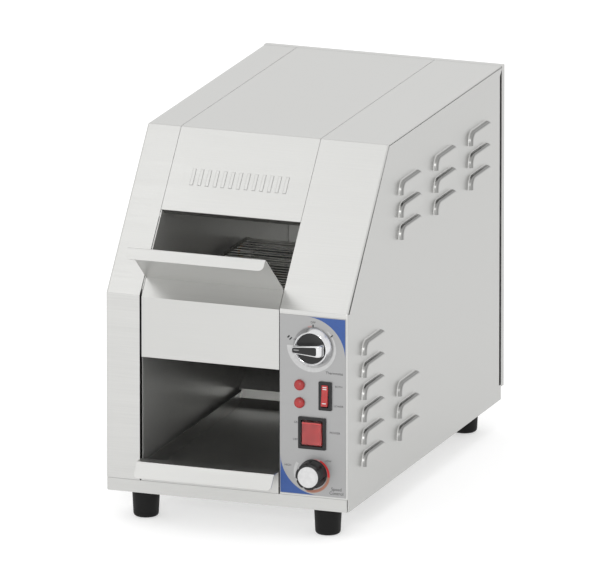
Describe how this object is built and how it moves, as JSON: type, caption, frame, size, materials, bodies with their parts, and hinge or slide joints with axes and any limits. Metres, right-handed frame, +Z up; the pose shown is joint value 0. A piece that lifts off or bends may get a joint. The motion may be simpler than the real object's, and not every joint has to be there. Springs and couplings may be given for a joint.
{
  "type": "conveyor toaster",
  "caption": "Small countertop conveyor toaster: brushed steel housing with sloped front, feed shelf, wire belt, pull-out crumb tray and a control column.",
  "frame": {"origin": "on the ground under the middle of the object's bounding box", "axes": "+X right seen from the front, +Y to the back, +Z up"},
  "size_m": [0.291, 0.5752, 0.4151],
  "materials": {
    "brushed_stainless": "brushed stainless sheet",
    "panel_stainless": "fine brushed stainless sheet",
    "inner_stainless": "heat-dulled bright sheet",
    "insulation": "ceramic fibre blanket",
    "heater_sheath": "heat-tinted metal sheath",
    "ceramic": "matt steatite",
    "belt_wire": "drawn stainless wire",
    "shaft_steel": "turned steel",
    "chain_steel": "oiled steel",
    "bush_bronze": "sintered bronze",
    "motor_paint": "satin black paint",
    "bracket_zinc": "zinc-plated steel",
    "black_plastic": "satin moulded plastic",
    "white_plastic": "gloss white cap",
    "thermostat_case": "moulded thermoset",
    "control_shafts": "turned steel",
    "chrome": "bright chrome plating",
    "red_plastic": "tinted red plastic",
    "label": "brushed printed label",
    "circuit_board": "solder-masked laminate",
    "rubber": "black moulded rubber",
    "screw_steel": "plain stainless screws"
  },
  "bodies": {
    "housing": {"left_casing": "brushed_stainless", "right_casing": "brushed_stainless", "centre_cover": "brushed_stainless", "back_panel": "brushed_stainless", "feed_panel": "panel_stainless", "base_pan": "panel_stainless", "left_inner_wall": "inner_stainless", "right_inner_wall": "inner_stainless", "rear_inner_wall": "inner_stainless", "bread_slide": "inner_stainless", "upper_reflector": "inner_stainless", "lower_reflector": "inner_stainless", "insulation_pad": "insulation", "upper_heaters": "heater_sheath", "lower_heater_1": "heater_sheath", "lower_heater_2": "heater_sheath", "heater_insulators": "ceramic", "conveyor_belt": "belt_wire", "drive_chain": "chain_steel", "shaft_bushes": "bush_bronze", "gear_motor": "motor_paint", "motor_bracket": "bracket_zinc", "fan_guard": "bracket_zinc", "board_standoffs": "bracket_zinc", "fan_frame": "black_plastic", "power_switch_housing": "black_plastic", "selector_switch_housing": "black_plastic", "speed_potentiometer": "black_plastic", "cable_gland": "black_plastic", "terminal_block": "black_plastic", "thermostat_body": "thermostat_case", "upper_lamp": "red_plastic", "lower_lamp": "red_plastic", "control_label": "label", "speed_control_board": "circuit_board", "foot_front_left": "rubber", "foot_front_right": "rubber", "foot_rear_left": "rubber", "foot_rear_right": "rubber", "foot_screws": "screw_steel", "casing_screws": "screw_steel"},
    "tray": {"crumb_tray": "panel_stainless"},
    "drive_roller": {"drive_shaft": "shaft_steel", "drive_sprockets": "shaft_steel", "driven_chain_wheel": "chain_steel"},
    "idler_roller": {"idler_shaft": "shaft_steel", "idler_sprockets": "shaft_steel"},
    "motor_output": {"motor_output_shaft": "shaft_steel", "motor_chain_wheel": "chain_steel"},
    "fan_wheel": {"fan_rotor": "black_plastic"},
    "thermostat_control": {"thermostat_shaft": "control_shafts", "thermostat_knob_skirt": "chrome", "thermostat_knob_disc": "black_plastic", "thermostat_knob_handle": "chrome", "thermostat_knob_insert": "black_plastic"},
    "speed_control": {"speed_shaft": "control_shafts", "speed_knob": "black_plastic", "speed_knob_cap": "white_plastic"},
    "power_button": {"power_rocker": "red_plastic"},
    "selector_button": {"selector_rocker": "red_plastic"}
  },
  "joints": [
    {"name": "tray_slide", "type": "slide", "parent": "housing", "child": "tray", "axis": [0, -1, 0], "range_m": [0, 0.26]},
    {"name": "drive_spin", "type": "hinge", "parent": "housing", "child": "drive_roller", "pos_m": [0, 0.07716, 0.2287], "axis": [1, 0, 0], "continuous": true},
    {"name": "idler_spin", "type": "hinge", "parent": "housing", "child": "idler_roller", "pos_m": [0, -0.19584, 0.2287], "axis": [1, 0, 0], "continuous": true},
    {"name": "motor_spin", "type": "hinge", "parent": "housing", "child": "motor_output", "pos_m": [0.076, 0.07716, 0.1437], "axis": [1, 0, 0], "continuous": true},
    {"name": "fan_spin", "type": "hinge", "parent": "housing", "child": "fan_wheel", "pos_m": [0.1, 0.25716, 0.0987], "axis": [0, 1, 0], "continuous": true},
    {"name": "thermostat_turn", "type": "hinge", "parent": "housing", "child": "thermostat_control", "pos_m": [0.0999, -0.23684, 0.2171], "axis": [0, -1, 0], "range_deg": [-90, 210]},
    {"name": "speed_turn", "type": "hinge", "parent": "housing", "child": "speed_control", "pos_m": [0.1, -0.23684, 0.0747], "axis": [0, -1, 0], "range_deg": [-140, 140]},
    {"name": "power_rock", "type": "hinge", "parent": "housing", "child": "power_button", "pos_m": [0.099, -0.23284, 0.1201], "axis": [1, 0, 0], "range_deg": [0, 10]},
    {"name": "selector_rock", "type": "hinge", "parent": "housing", "child": "selector_button", "pos_m": [0.1142, -0.23284, 0.1633], "axis": [1, 0, 0], "range_deg": [0, 10]}
  ],
  "couplings": [
    {"joint": "idler_spin", "follows": "drive_spin", "ratio": 1},
    {"joint": "motor_spin", "follows": "drive_spin", "ratio": 1}
  ]
}
